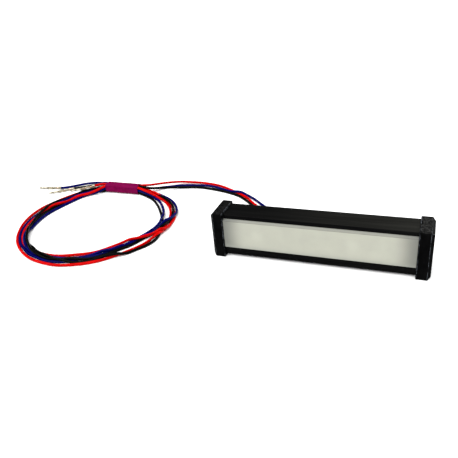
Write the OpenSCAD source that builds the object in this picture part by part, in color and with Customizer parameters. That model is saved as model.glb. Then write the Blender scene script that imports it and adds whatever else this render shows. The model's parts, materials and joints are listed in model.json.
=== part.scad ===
// LED light bar: an aluminium extrusion with a frosted lens, closed by two moulded end caps,
// with three flying leads that leave the back and lie in a loose, banded two-turn loop.
// Origin: middle of the bar, on the surface it stands on. X runs along the bar, the lens faces -Y.

/* [Bar] */
// Length over both end caps
bar_length = 152.4; // [150:0.1:240]
// Height of the end caps
cap_height = 35.5; // [35:0.1:37]
// Depth of the end caps, front to back
cap_depth = 24; // [24:0.1:26]
// Thickness of an end cap along the bar
cap_thick = 9.4; // [8:0.1:10]
// Bevel round the outer face of an end cap
cap_bevel = 2.1; // [1:0.1:2.2]
// Bevel round the inner edges of an end cap
cap_edge = 0.5; // [0.3:0.1:0.8]

/* [Housing] */
// Height of the underside of the extrusion
housing_low = 1.4; // [1:0.1:1.6]
// Height of the top of the extrusion
housing_top = 34.2; // [33.8:0.1:34.4]
// Distance from the cap fronts back to the lips
front_inset = 2.75; // [2:0.05:3]
// Distance from the cap backs forward to the back wall
back_inset = 1.4; // [1.2:0.1:2]
// Wall thickness of the extrusion
wall = 1.8; // [1.5:0.1:2]
// Thickness of the back wall and of the lips
lip_thick = 2.2; // [2:0.1:2.4]
// Outside corner radius of the extrusion
corner = 1.2; // [0.8:0.1:1.6]

/* [Lens] */
// Lower edge of the lens
lens_low = 7.6; // [7:0.1:8]
// Upper edge of the lens
lens_top = 31; // [30.6:0.1:31.2]
// How far the lens stands proud of the lips
lens_proud = 1.75; // [1:0.05:1.9]
// Thickness of the lens
lens_thick = 1.6; // [1.2:0.1:2]

/* [Light engine] */
// Number of white light-emitting diodes
white_count = 8; // [4:1:8]
// Spacing of the white diodes
led_pitch = 17; // [15:0.5:17]
// Height of the row of diodes
led_height = 19.5; // [19:0.1:21]
// Thickness of the circuit board
board_thick = 1.6; // [1:0.1:1.6]

/* [Leads] */
// Outside diameter of a lead
wire_d = 2.3; // [2:0.1:2.4]
// Length of the band round the coiled leads
band_length = 37; // [30:1:37]

/* [Hidden] */

$fn = 48;
slack = 0.1;
over = 1;

// Planes of the bar
half_length = bar_length / 2;
cap_inner = half_length - cap_thick;
lip_front = -cap_depth / 2 + front_inset;
lip_back = lip_front + lip_thick;
back_face = cap_depth / 2 - back_inset;
board_back = back_face - lip_thick;
tape_thick = 0.3;
board_rear = board_back - tape_thick;
board_front = board_rear - board_thick;
cavity_low = housing_low + wall;
cavity_top = housing_top - wall;
window_low = lens_low - slack;
window_top = lens_top + slack;
gasket_thick = 0.8;
gasket_inset = 0.3;

// Screws that hold the end caps: M3 pan head into the extrusion's bosses
boss_r = 2.8;
boss_y = 1.5;
boss_rise = 2;
pilot_r = 1.3;
screw_r = 1.48;
screw_hole_r = 1.7;
head_r = 2.6;
head_h = 1.8;
counterbore_r = 2.9;
counterbore_depth = 2.4;
screw_length = 14;
boss_heights = [cavity_low + boss_rise, cavity_top - boss_rise];

// Locating spigot of an end cap
spigot_reach = 4;
spigot_wall = 1.5;
spigot_y = [-4, 4.6];
spigot_z = [9, 26.6];
core_depth = 4.5;

// Board and what sits on it
board_half = cap_inner - 4.4;
board_z = [5.4, 29.2];
led_body = 3;
led_h = 0.8;
led_cup_r = 1.2;
led_cup_depth = 0.4;
blue_body = 2.8;
blue_count = white_count - 1;
chip_z = 25.6;
resistor_x = [-52, -35, -18, 18, 35, 52];
resistor_size = [2.4, 0.6, 1.6];
terminal = 0.4;
regulator_x = [-4.5, 4.5];
regulator_size = [4.5, 1.5, 2.5];
tab_size = [1.5, 0.4, 0.8];
diode_x = [-12, -6];
diode_z = 9.5;
diode_size = [4.3, 2.1, 2.6];
diode_lead = [1, 0.3, 1.5];

// Soldered ends of the leads
pad_x = -27.4;
pad_size = [3.6, 0.1, 2.4];
pad_heights = [8.2, 11.6, 15];
joint_r = 1.5;
joint_x = -27.2;
lead_end_x = -29;
lead_end_y = 5.3;
core_r = 0.6;
core_out = 3;

// Cable outlet: the grommet has one bore for each lead, and its outer flange is let into the wall
outlet_x = -40;
outlet_z = 11.6;
outlet_r = 4.5;
flange_r = 5.6;
flange_taper = 0.6;
flange_inner_r = 5;
flange_t = 1.1;
board_hole_r = 5.4;
bore_r = 1.22;
bore_places = [[-1.5, -0.9], [1.5, -0.9], [0, 1.7]];

// Band round the coiled leads
band_right = -190;
band_y = 81;
band_w = 10;
band_h = 9.4;
band_wall = 0.6;
band_r = 3;

// Crimp contacts: where the insulation grip starts, the heading of the pin and how far it dips
red_contact = [[-244.2, 83.9, 3.1], 207, 5.3];
blue_contact = [[-280.3, 76.7, 1.45], 190, 0];
black_contact = [[-265, 77.4, 1.45], 216, 0];
lead_in = 1.9;
core_in = 2;
grip_r = 1.45;
grip_gap = 0.02;
grip_length = 3.4;
neck_length = 2;
strip_w = 1.9;
strip_t = 0.35;
crimp_length = 4;
crimp_r = 0.95;
crimp_fold = 0.45;
core_past = 0.8;
box_length = 6.4;
box_w = 2.3;
box_h = 2.3;
pin_r = 0.75;
pin_tip_r = 0.3;
pin_length = 9.6;
pin_nose = 1.2;
crimp_x = grip_length + neck_length;
box_x = crimp_x + crimp_length;
pin_x = box_x + box_length;

// Routes of the leads, from the solder pad, out through the grommet, along the surface, through the
// band, round the loop twice, and through the band again each time, to the crimp contact.
black_route = [
  [-29, 5.3, 8.2], [-34, 4.9, 8.6], [-37.5, 4.9, 9.2], [-40, 5.8, 10.2], [-41.2, 7.4, 10.7],
  [-41.5, 10, 10.7], [-41.5, 15, 10.6], [-42, 24, 8.6], [-44, 35, 4.8], [-50, 47, 1.8],
  [-60, 60, 1.15], [-75.8, 75.5, 1.15], [-83.7, 83.2, 1.15], [-92.8, 90.4, 1.15],
  [-107.4, 96.3, 1.15], [-121.6, 100, 1.15], [-136.8, 101.9, 1.15], [-149.2, 99.9, 1.3],
  [-160.6, 95.6, 2.2], [-166.7, 90.2, 3.8], [-172.8, 84.9, 5.4], [-179.2, 80.3, 6.8],
  [-190, 81, 7.4], [-208, 81, 6], [-227, 81, 4.6], [-237.4, 78.5, 4.8], [-245.4, 73.4, 4.4],
  [-251.7, 66.6, 3.9], [-257.8, 57, 3.6], [-261.5, 44.7, 3.5], [-262.5, 37, 3.5],
  [-262.2, 27.9, 3.4], [-261.3, 19.2, 3.1], [-258.1, 8.6, 3.4], [-254.1, -1.9, 3.8],
  [-249.7, -11.5, 3.8], [-245, -19.3, 3.4], [-238.9, -26.7, 3.4], [-230.8, -34.1, 3.4],
  [-220.9, -40.8, 3.4], [-209.9, -46.2, 3.4], [-177, -47, 3.4], [-163, -40, 3.4], [-150, -30, 3.4],
  [-143.6, -25.1, 2.6], [-139.4, -18.2, 1.3], [-134.9, -11.8, 1.15], [-132, -4.5, 1.15],
  [-131.7, 3.6, 1.15], [-133, 11.9, 1.15], [-136.1, 20.8, 1.15], [-140.1, 29.2, 1.15],
  [-145.3, 37.7, 1.15], [-151.3, 46.5, 1.15], [-158, 55.5, 1.15], [-165.4, 63.9, 1.15],
  [-173.2, 70.4, 1.15], [-182.1, 75.3, 1.3], [-190, 78, 1.8], [-208, 78, 1.8], [-227, 78, 1.8],
  [-237.6, 74.7, 1.3], [-243.6, 69.5, 1.15], [-248.8, 61.3, 1.15], [-251.5, 54.1, 1.15],
  [-254.6, 45, 1.15], [-258, 37.8, 1.15], [-259.7, 29.9, 1.15], [-260.2, 21.9, 1.15],
  [-259.5, 13.2, 1.15], [-257.2, 3.7, 1.15], [-253, -6.6, 1.15], [-248.3, -15.4, 1.15],
  [-242.1, -23.7, 1.6], [-233.6, -31.2, 2.8], [-224.6, -37.6, 3.4], [-215.1, -42.2, 3.4],
  [-195, -46, 3.4], [-179, -44, 3.4], [-166, -37, 2], [-156.6, -25.8, 1.15], [-153, -19.8, 1.15],
  [-149, -13.7, 1.15], [-146.1, -8.1, 1.15], [-143.7, -2.6, 1.15], [-141.3, 3, 1.4],
  [-138.7, 7.1, 2.2], [-136.3, 11.8, 3.2], [-135.2, 18.8, 3.5], [-134.2, 26.2, 3.5],
  [-134.1, 34.2, 3.6], [-136.3, 43.1, 3.4], [-140, 50.7, 3.4], [-145.2, 58, 3.4], [-152.4, 65, 3.4],
  [-159.7, 69.8, 3.4], [-168, 74.6, 2.4], [-175.6, 78.5, 1.5], [-182.2, 80.7, 1.3], [-190, 81, 1.8],
  [-208, 82, 3.2], [-227, 84, 4.6], [-237, 88.5, 2.8], [-247, 89.5, 1.2], [-256, 84, 1.2],
  [-262, 79.6, 1.3]
];
red_route = [
  [-29, 5.3, 15], [-33.5, 4.9, 14.6], [-37.5, 5.4, 13.8], [-39.4, 7.2, 13.4], [-40, 10, 13.3],
  [-40, 15, 13.2], [-40.5, 25, 11], [-43, 37, 6.4], [-49, 50, 2.6], [-59, 63, 1.15],
  [-66, 69.5, 1.15], [-73, 76, 1.15], [-82.5, 86.7, 1.15], [-91.4, 93.4, 1.15],
  [-102.7, 100.7, 1.15], [-118.7, 109.1, 1.15], [-133.2, 112.4, 1.15], [-141.5, 113, 1.3],
  [-158.3, 110.1, 2.2], [-168.4, 102.9, 3.8], [-177.3, 93.7, 5.6], [-182.8, 87, 6.8],
  [-190, 84, 7.4], [-208, 84, 4.6], [-227, 84, 1.8], [-239.7, 81.4, 1.15], [-247.9, 76, 1.15],
  [-254, 68.9, 1.15], [-259.9, 59, 1.15], [-263.7, 50.7, 1.15], [-267, 42, 1.15],
  [-269.8, 32.9, 1.15], [-270.2, 21.3, 1.15], [-268.3, 8.6, 1.15], [-263.4, -5.1, 1.15],
  [-256.8, -16.8, 1.15], [-249.1, -27, 1.15], [-239, -36.8, 1.15], [-228.5, -43.9, 1.15],
  [-217.2, -49.4, 1.15], [-206, -52, 1.15], [-190, -53, 1.15], [-174, -48, 1.15], [-161, -40, 1.15],
  [-150, -29, 1.15], [-145.4, -22.5, 1.15], [-141.6, -16.7, 1.15], [-138, -10.3, 1.15],
  [-135.4, -3.1, 1.4], [-132.9, 3.5, 2.6], [-132, 10.7, 3.4], [-133.5, 21.3, 2.4],
  [-135.6, 31.6, 1.15], [-138.3, 40.7, 1.15], [-142.7, 49.7, 1.15], [-148.4, 58.1, 1.15],
  [-156, 66.1, 1.3], [-163.6, 71, 2], [-171, 73.8, 3.4], [-177.5, 74.8, 5.2], [-183.2, 75.8, 6.6],
  [-190, 78, 7.4], [-208, 78, 7.4], [-227, 78, 7.4], [-231.3, 73.4, 6.4], [-236.7, 69.4, 5.2],
  [-240.8, 65, 4.3], [-245.3, 60.1, 3.6], [-249.6, 52.3, 3.4], [-253.7, 44.5, 3.2],
  [-257.5, 37.7, 2.6], [-261.3, 32.2, 1.8], [-263.8, 25.3, 1.3], [-263, 14.1, 1.15],
  [-260.4, 1.9, 1.15], [-256.4, -9.1, 1.15], [-251.1, -18.6, 1.15], [-244.9, -26.1, 1.15],
  [-237.7, -32.4, 1.15], [-231, -35, 1.15], [-215, -40, 1.15], [-199, -41, 1.15], [-184, -36, 1.3],
  [-170, -29, 2.4], [-160.1, -16.7, 1.15], [-155, -11.3, 1.15], [-150.6, -8, 1.8], [-146.1, -6, 3],
  [-142.6, -2.5, 3.4], [-139.5, 1.8, 3.6], [-136.6, 5.1, 4.2], [-133.2, 8, 5.2],
  [-131.2, 10.8, 5.6], [-130.3, 15.8, 5], [-130.6, 22.9, 3.4], [-131.7, 31.1, 1.8],
  [-133.9, 39.9, 1.15], [-137.8, 47.3, 1.15], [-142.3, 54.4, 1.15], [-147.4, 60.4, 1.15],
  [-153.4, 66.4, 1.15], [-159.3, 71.7, 1.15], [-165.3, 75.9, 1.4], [-170.9, 78.5, 2.4],
  [-175.9, 79.8, 3.4], [-182.1, 81.4, 4], [-190, 81, 4.6], [-208, 81, 6], [-227, 81, 7.4],
  [-233, 82.8, 6.4], [-238.5, 84.1, 4.7]
];
blue_route = [
  [-29, 5.3, 11.6], [-32.5, 4.9, 11.6], [-36, 5.4, 11.2], [-37.9, 7.2, 10.8], [-38.5, 10, 10.7],
  [-38.5, 15, 10.6], [-38.5, 25, 8.8], [-39, 37, 5], [-43, 49, 1.8], [-51, 62, 1.15],
  [-60, 71, 1.2], [-66.2, 76.5, 1.15], [-76.4, 86.5, 1.3], [-81.8, 90.2, 2], [-87.3, 92.6, 3],
  [-94.1, 94.6, 3.5], [-101.1, 96.7, 3.5], [-108.5, 99.8, 3.4], [-116.3, 103.2, 2.8],
  [-124, 106.1, 1.6], [-131, 107.1, 1.15], [-138.8, 106.6, 1.15], [-155.6, 103.9, 1.15],
  [-166.6, 98.5, 1.4], [-173.7, 92.7, 2.4], [-179.7, 87, 3.6], [-190, 84, 4.6], [-208, 82, 3.2],
  [-227, 81, 1.8], [-237.8, 78.5, 1.3], [-245.8, 72.7, 1.15], [-251.5, 65.2, 1.15],
  [-257.1, 55.1, 1.15], [-260.4, 46.2, 1.3], [-262.3, 37.3, 1.7], [-263.3, 28.9, 2.3],
  [-264.4, 20.5, 2.6], [-263.9, 8.7, 2.6], [-260.2, -4.5, 2.6], [-254.1, -16.7, 2.6],
  [-246.8, -26.2, 2.6], [-238.4, -34, 2.4], [-229.2, -39.8, 2], [-219.2, -44.6, 1.6],
  [-207.9, -48, 1.3], [-189, -48, 1.15], [-176, -41, 1.15], [-166, -33, 1.15],
  [-156.8, -23.1, 1.15], [-153.5, -17.7, 1.15], [-150.6, -11.7, 1.15], [-147.9, -6.2, 1.15],
  [-146.1, -1, 1.15], [-144.6, 4.7, 1.3], [-143.2, 10.9, 1.6], [-141.8, 16.8, 2.4],
  [-140.9, 23, 3.2], [-141.3, 29.6, 3.4], [-143.6, 37.2, 3.2], [-148, 46.6, 2.2],
  [-155.5, 58.2, 1.3], [-163.6, 67.3, 1.15], [-172.8, 73.2, 1.6], [-180.6, 74.9, 3.2],
  [-190, 78, 4.6], [-208, 78, 4.6], [-227, 78, 4.6], [-233.1, 71.4, 3.4], [-240.7, 68.2, 1.6],
  [-244.9, 61.4, 1.15], [-248, 53.2, 1.15], [-250.5, 44.6, 1.15], [-253, 36.3, 1.15],
  [-254.8, 28.6, 1.3], [-255.8, 21.4, 1.6], [-255.5, 13.3, 2.2], [-254.1, 3.7, 2.8],
  [-251.5, -6.7, 3.2], [-248.5, -16.3, 3], [-244, -24.3, 2.8], [-236.5, -32.2, 3.2],
  [-228, -38.6, 3.2], [-218.5, -43.6, 2.8], [-201, -44, 1.2], [-186, -42, 1.15], [-174, -37, 1.15],
  [-163, -29, 1.4], [-156.8, -25.7, 2.2], [-153.2, -19.3, 1.8], [-150.1, -12.9, 1.6],
  [-147.4, -7, 1.15], [-145.5, -2.2, 1.15], [-143.5, 2.7, 1.3], [-141.3, 7.5, 2], [-138.8, 12, 3.2],
  [-136.4, 17, 4.6], [-134.7, 23.1, 5.5], [-133.3, 30.6, 5.6], [-133.2, 39.3, 5], [-135, 47.1, 4],
  [-139.5, 55.5, 2.6], [-145.9, 64.3, 1.4], [-153.3, 71.1, 1.15], [-160.7, 75.5, 1.15],
  [-168.7, 78.9, 1.15], [-176.5, 81.8, 1.15], [-183.7, 83.4, 1.3], [-190, 84, 1.8], [-208, 84, 4.6],
  [-227, 84, 7.4], [-235, 88, 6], [-242, 92.5, 3.4], [-250, 95, 1.4], [-259, 92, 1.15],
  [-268, 84.8, 1.15], [-275, 79.1, 1.35]
];
wire_sides = 8;

// Extrudes a [Y, Z] profile along X, from x0 over the given length
module along_x(x0, length) {
  translate([x0, 0, 0]) rotate([90, 0, 90]) linear_extrude(length) children();
}

// Turns what is drawn along +Z so that it runs along +X
module facing_x() {
  rotate([0, 90, 0]) children();
}

// Turns what is drawn along +Z so that it runs along +Y
module facing_y() {
  rotate([-90, 0, 0]) children();
}

// Rectangle from one corner to the other, with round corners
module rounded_rect(low, high, r) {
  w = high[0] - low[0];
  h = high[1] - low[1];
  translate(low + [r, 0]) square([w - 2 * r, h]);
  translate(low + [0, r]) square([w, h - 2 * r]);
  for (y = [low[0] + r, high[0] - r], z = [low[1] + r, high[1] - r]) translate([y, z]) circle(r);
}

module box_between(low, high) {
  translate(low) cube(high - low);
}

// A row of places along X, centred on the bar
function row_x(count, pitch) = [for (i = [0 : count - 1]) (i - (count - 1) / 2) * pitch];

// ---------- Housing ----------

module housing_outline(inset) {
  rounded_rect([lip_front + inset, housing_low + inset], [back_face - inset, housing_top - inset],
    corner);
}

module cavity_outline() {
  difference() {
    translate([lip_back, cavity_low]) square([board_back - lip_back, cavity_top - cavity_low]);
    for (z = boss_heights) translate([boss_y, z]) circle(boss_r);
    translate([boss_y - boss_r, cavity_low]) square([2 * boss_r, boss_rise]);
    translate([boss_y - boss_r, cavity_top - boss_rise]) square([2 * boss_r, boss_rise]);
  }
}

module lens_window() {
  translate([lip_front - over, window_low])
    square([lip_thick + 2 * over, window_top - window_low]);
}

module screw_holes(radius, x0, length) {
  for (z = boss_heights) translate([x0, boss_y, z]) facing_x() cylinder(h = length, r = radius);
}

module housing() {
  color([0.04, 0.04, 0.045])
  difference() {
    along_x(-cap_inner, 2 * cap_inner) difference() {
      housing_outline(0);
      cavity_outline();
      lens_window();
    }
    screw_holes(pilot_r, -cap_inner - over, 2 * (cap_inner + over));
    translate([outlet_x, board_back - over, outlet_z]) facing_y()
      cylinder(h = lip_thick + 2 * over, r = outlet_r);
    translate([outlet_x, back_face - flange_t, outlet_z]) facing_y()
      cylinder(h = flange_t + over, r = flange_r + slack);
  }
}

// ---------- Lens ----------

module lens() {
  face = lip_front - lens_proud;
  inside = lip_front - lens_proud + lens_thick;
  shoulder = 0.85;
  leg_end = lip_back + 1.7;
  catch_depth = 0.55;
  catch_far = lip_back + 0.9;
  rear = lip_back + slack / 2;
  color([0.82, 0.82, 0.77])
  along_x(-cap_inner, 2 * cap_inner) polygon([
    [lip_front, lens_low], [face + 0.1, lens_low + shoulder], [face, lens_low + 3 * shoulder],
    [face, lens_top - 3 * shoulder], [face + 0.1, lens_top - shoulder], [lip_front, lens_top],
    [rear, lens_top], [rear, lens_top + catch_depth], [catch_far, lens_top + catch_depth],
    [leg_end, lens_top], [leg_end, lens_top - lens_thick], [inside + 0.8, lens_top - lens_thick],
    [inside, lens_top - lens_thick - 0.8], [inside, lens_low + lens_thick + 0.8],
    [inside + 0.8, lens_low + lens_thick], [leg_end, lens_low + lens_thick], [leg_end, lens_low],
    [catch_far, lens_low - catch_depth], [rear, lens_low - catch_depth], [rear, lens_low]
  ]);
}

// ---------- End caps, gaskets and screws, drawn at the right-hand end ----------

// Side or top outline of a cap: bevelled at its outer end, with a small bevel at its inner edge
module cap_outline(low, high) {
  polygon([
    [cap_inner, low + cap_edge], [cap_inner + cap_edge, low], [half_length - cap_bevel, low],
    [half_length, low + cap_bevel], [half_length, high - cap_bevel],
    [half_length - cap_bevel, high], [cap_inner + cap_edge, high], [cap_inner, high - cap_edge]
  ]);
}

module cap_block() {
  edge_r = 0.8;
  intersection() {
    along_x(cap_inner, cap_thick)
      rounded_rect([-cap_depth / 2, 0], [cap_depth / 2, cap_height], edge_r);
    translate([0, cap_depth / 2, 0]) rotate([90, 0, 0]) linear_extrude(cap_depth)
      cap_outline(0, cap_height);
    linear_extrude(cap_height) cap_outline(-cap_depth / 2, cap_depth / 2);
  }
}

module cap_spigot() {
  x0 = cap_inner - spigot_reach;
  box_between([x0, spigot_y[0], spigot_z[0]],
    [cap_inner + gasket_thick + over, spigot_y[1], spigot_z[1]]);
}

module end_cap() {
  color([0.05, 0.05, 0.055])
  difference() {
    union() {
      difference() {
        cap_block();
        along_x(cap_inner - over, gasket_thick + over) housing_outline(0);
      }
      cap_spigot();
    }
    box_between(
      [cap_inner - spigot_reach - over, spigot_y[0] + spigot_wall, spigot_z[0] + spigot_wall],
      [cap_inner + core_depth, spigot_y[1] - spigot_wall, spigot_z[1] - spigot_wall]);
    screw_holes(screw_hole_r, cap_inner - over, cap_thick + 2 * over);
    screw_holes(counterbore_r, half_length - counterbore_depth, counterbore_depth + over);
  }
}

module end_gasket() {
  color([0.08, 0.08, 0.08])
  difference() {
    along_x(cap_inner, gasket_thick) difference() {
      housing_outline(gasket_inset);
      cavity_outline();
    }
    screw_holes(screw_hole_r, cap_inner - over, gasket_thick + 2 * over);
  }
}

module cap_screw() {
  socket_w = 0.7;
  socket_l = 3;
  socket_depth = 1.1;
  tip = 1;
  difference() {
    rotate_extrude() polygon([
      [0, -screw_length], [screw_r - 0.9, -screw_length], [screw_r, -screw_length + tip],
      [screw_r, 0], [head_r, 0], [head_r, head_h * 0.55], [head_r * 0.8, head_h * 0.9],
      [head_r * 0.5, head_h], [0, head_h]
    ]);
    for (turn = [0, 90]) rotate(turn)
      translate([-socket_l / 2, -socket_w / 2, head_h - socket_depth])
        cube([socket_l, socket_w, socket_depth + over]);
  }
}

module cap_screws() {
  color([0.55, 0.55, 0.56])
  for (z = boss_heights)
    translate([half_length - counterbore_depth, boss_y, z]) facing_x() cap_screw();
}

// ---------- Light engine ----------

module board_blank(y0, thick, inset) {
  difference() {
    box_between([-board_half + inset, y0, board_z[0] + inset],
      [board_half - inset, y0 + thick, board_z[1] - inset]);
    translate([outlet_x, y0 - over, outlet_z]) facing_y()
      cylinder(h = thick + 2 * over, r = board_hole_r);
  }
}

module led_board() {
  color([0.9, 0.9, 0.88]) board_blank(board_front, board_thick, 0);
}

module thermal_tape() {
  color([0.8, 0.82, 0.85]) board_blank(board_rear, tape_thick, 0.4);
}

// A diode package on the front of the board, with a round cup in its face
module led_package(x, size) {
  difference() {
    translate([x - size / 2, board_front - led_h, led_height - size / 2])
      cube([size, led_h, size]);
    led_fill(x, over);
  }
}

// The cup's filling, drawn further out by extra when it is used as a cutter
module led_fill(x, extra) {
  translate([x, board_front - led_h - extra, led_height]) facing_y()
    cylinder(h = led_cup_depth + extra, r = led_cup_r);
}

module white_leds() {
  color([0.93, 0.93, 0.9]) for (x = row_x(white_count, led_pitch)) led_package(x, led_body);
}

module white_phosphor() {
  color([0.95, 0.85, 0.3]) for (x = row_x(white_count, led_pitch)) led_fill(x, 0);
}

module blue_leds() {
  color([0.93, 0.93, 0.93]) for (x = row_x(blue_count, led_pitch)) led_package(x, blue_body);
}

module blue_silicone() {
  color([0.75, 0.82, 0.9]) for (x = row_x(blue_count, led_pitch)) led_fill(x, 0);
}

// A block that stands on the front of the board, centred on x and z
module on_board(x, z, size) {
  translate([x - size[0] / 2, board_front - size[1], z - size[2] / 2]) cube(size);
}

module resistor_bodies() {
  color([0.1, 0.1, 0.1]) for (x = resistor_x) on_board(x, chip_z, resistor_size);
}

module resistor_terminals() {
  reach = (resistor_size[0] + terminal) / 2;
  color([0.75, 0.75, 0.76]) for (x = resistor_x, side = [-1, 1])
    on_board(x + side * reach, chip_z, [terminal, resistor_size[1], resistor_size[2]]);
}

module regulators() {
  color([0.07, 0.07, 0.07]) for (x = regulator_x) on_board(x, chip_z, regulator_size);
}

module regulator_leads() {
  drop = (regulator_size[2] + tab_size[2]) / 2;
  foot = [0.5, tab_size[1], tab_size[2]];
  color([0.75, 0.75, 0.76]) for (x = regulator_x) {
    on_board(x, chip_z + drop, tab_size);
    for (offset_x = [-1.5, 0, 1.5]) on_board(x + offset_x, chip_z - drop, foot);
  }
}

module diodes() {
  color([0.08, 0.08, 0.08]) for (x = diode_x) on_board(x, diode_z, diode_size);
}

module diode_leads() {
  reach = (diode_size[2] + diode_lead[2]) / 2;
  foot = [diode_size[0] * 0.4, diode_lead[1], diode_lead[2]];
  color([0.75, 0.75, 0.76]) for (x = diode_x, side = [-1, 1])
    on_board(x, diode_z + side * reach, foot);
}

module solder_pads() {
  color([0.85, 0.6, 0.35]) for (z = pad_heights) on_board(pad_x, z, pad_size);
}

module joint_cores(radius) {
  for (z = pad_heights) translate([lead_end_x, lead_end_y, z]) facing_x()
    cylinder(h = core_out, r = radius);
}

module solder_joints() {
  pad_face = board_front - pad_size[1];
  color([0.72, 0.73, 0.75])
  difference() {
    for (z = pad_heights) translate([joint_x, pad_face, z]) intersection() {
      sphere(joint_r);
      translate([-joint_r, -joint_r, -pad_size[2] / 2]) cube([2 * joint_r, joint_r, pad_size[2]]);
    }
    joint_cores(core_r);
  }
}

module soldered_ends() {
  color([0.8, 0.55, 0.4]) joint_cores(core_r);
}

// ---------- Cable outlet ----------

module cable_grommet() {
  color([0.06, 0.06, 0.06])
  translate([outlet_x, 0, outlet_z]) difference() {
    union() {
      translate([0, board_back, 0]) facing_y() cylinder(h = lip_thick, r = outlet_r);
      translate([0, back_face - flange_t, 0]) facing_y()
        cylinder(h = flange_t, r1 = flange_r, r2 = flange_r - flange_taper);
      translate([0, board_back - flange_t, 0]) facing_y() cylinder(h = flange_t, r = flange_inner_r);
    }
    for (place = bore_places) translate([place[0], board_back - flange_t - over, place[1]])
      facing_y() cylinder(h = lip_thick + flange_t + 2 * over, r = bore_r);
  }
}

// ---------- Leads ----------

function unit(v) = v / norm(v);

// Direction of a route at its point i
function heading(route, i) =
  let (last = len(route) - 1) unit(route[min(i + 1, last)] - route[max(i - 1, 0)]);

// Corners of the ring round point i, in a plane square to the route
function ring(route, i, r, sides) =
  let (
    ahead = heading(route, i),
    across = unit(cross(ahead, [0, 0, 1])),
    above = cross(across, ahead)
  )
  [for (k = [0 : sides - 1])
    route[i] + r * (cos((k + 0.5) * 360 / sides) * across + sin((k + 0.5) * 360 / sides) * above)];

// A tube swept along a route, as one closed polyhedron
module swept_tube(route, r, sides) {
  rings = len(route);
  points = [for (i = [0 : rings - 1]) each ring(route, i, r, sides)];
  skin = [for (i = [0 : rings - 2], k = [0 : sides - 1])
    let (a = i * sides + k, b = i * sides + (k + 1) % sides) [a, b, b + sides, a + sides]];
  start = [for (k = [sides - 1 : -1 : 0]) k];
  end = [for (k = [0 : sides - 1]) (rings - 1) * sides + k];
  polyhedron(points, concat([start], skin, [end]));
}

// Point on the axis of a contact, at a distance d past the start of its grip
function in_contact(contact, d) =
  let (turn = contact[1], dip = contact[2])
  contact[0] + d * [cos(dip) * cos(turn), cos(dip) * sin(turn), -sin(dip)];

// A lead along its route and into its contact, with the tube's corners on its outside diameter
module lead(route, contact) {
  ends = [in_contact(contact, 0), in_contact(contact, lead_in)];
  swept_tube(concat(route, ends), wire_d / 2, wire_sides);
}

module wire_red() {
  color([0.85, 0.05, 0.04]) lead(red_route, red_contact);
}

module wire_blue() {
  color([0.05, 0.08, 0.45]) lead(blue_route, blue_contact);
}

module wire_black() {
  color([0.03, 0.03, 0.03]) lead(black_route, black_contact);
}

// ---------- Crimp contacts ----------

module at_contact(contact) {
  translate(contact[0]) rotate([0, contact[2], contact[1]]) children();
}

// The stripped copper of a lead, from a place in the grip to just past the crimp
module contact_core(from) {
  translate([from, 0, 0]) facing_x() cylinder(h = box_x + core_past - from, r = core_r);
}

// Seen from the lead: insulation grip, neck, conductor crimp, locking box and round pin
module contact() {
  floor_z = -grip_r;
  difference() {
    union() {
      facing_x() cylinder(h = grip_length, r = grip_r);
      box_between([grip_length - over, -strip_w / 2, floor_z],
        [box_x + over, strip_w / 2, floor_z + strip_t]);
      for (side = [-1, 1]) translate([crimp_x, side * crimp_fold, 0]) facing_x()
        cylinder(h = crimp_length, r = crimp_r);
      box_between([crimp_x, -strip_w / 2, floor_z], [box_x, strip_w / 2, 0]);
      box_between([box_x, -box_w / 2, floor_z], [pin_x, box_w / 2, floor_z + box_h]);
      translate([pin_x - over, 0, 0]) facing_x()
        cylinder(h = pin_length - pin_nose + over, r = pin_r);
      translate([pin_x + pin_length - pin_nose, 0, 0]) facing_x()
        cylinder(h = pin_nose, r1 = pin_r, r2 = pin_tip_r);
    }
    translate([-over, 0, 0]) facing_x() cylinder(h = grip_length + over, r = wire_d / 2 + grip_gap);
    contact_core(0);
    box_between([box_x - over, -box_w / 2 + strip_t, floor_z + strip_t],
      [pin_x - strip_t, box_w / 2 - strip_t, floor_z + box_h + over]);
  }
}

module contact_red() {
  color([0.72, 0.68, 0.55]) at_contact(red_contact) contact();
}

module contact_blue() {
  color([0.72, 0.68, 0.55]) at_contact(blue_contact) contact();
}

module contact_black() {
  color([0.72, 0.68, 0.55]) at_contact(black_contact) contact();
}

module bare_conductors() {
  color([0.8, 0.55, 0.4]) for (contact = [red_contact, blue_contact, black_contact])
    at_contact(contact) contact_core(core_in);
}

// ---------- Band ----------

module bundle_sleeve() {
  low = [band_y - band_w / 2, 0];
  high = [band_y + band_w / 2, band_h];
  lining = [band_wall, band_wall];
  color([0.5, 0.02, 0.3])
  along_x(band_right - band_length, band_length) difference() {
    rounded_rect(low, high, band_r);
    rounded_rect(low + lining, high - lining, band_r - band_wall);
  }
}

housing();
lens();
mirror([1, 0, 0]) end_cap();  // left_end_cap
end_cap();  // right_end_cap
mirror([1, 0, 0]) end_gasket();  // left_gasket
end_gasket();  // right_gasket
mirror([1, 0, 0]) cap_screws();  // left_cap_screws
cap_screws();  // right_cap_screws
led_board();
thermal_tape();
white_leds();
white_phosphor();
blue_leds();
blue_silicone();
resistor_bodies();
resistor_terminals();
regulators();
regulator_leads();
diodes();
diode_leads();
solder_pads();
solder_joints();
soldered_ends();
cable_grommet();
wire_red();
wire_blue();
wire_black();
bare_conductors();
contact_red();
contact_blue();
contact_black();
bundle_sleeve();
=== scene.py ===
# LED light bar: the looks. Every object is in metres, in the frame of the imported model.
import json
import math

import bmesh
import bpy
import numpy as np
from mathutils import Matrix, Vector
from mathutils.kdtree import KDTree


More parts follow.
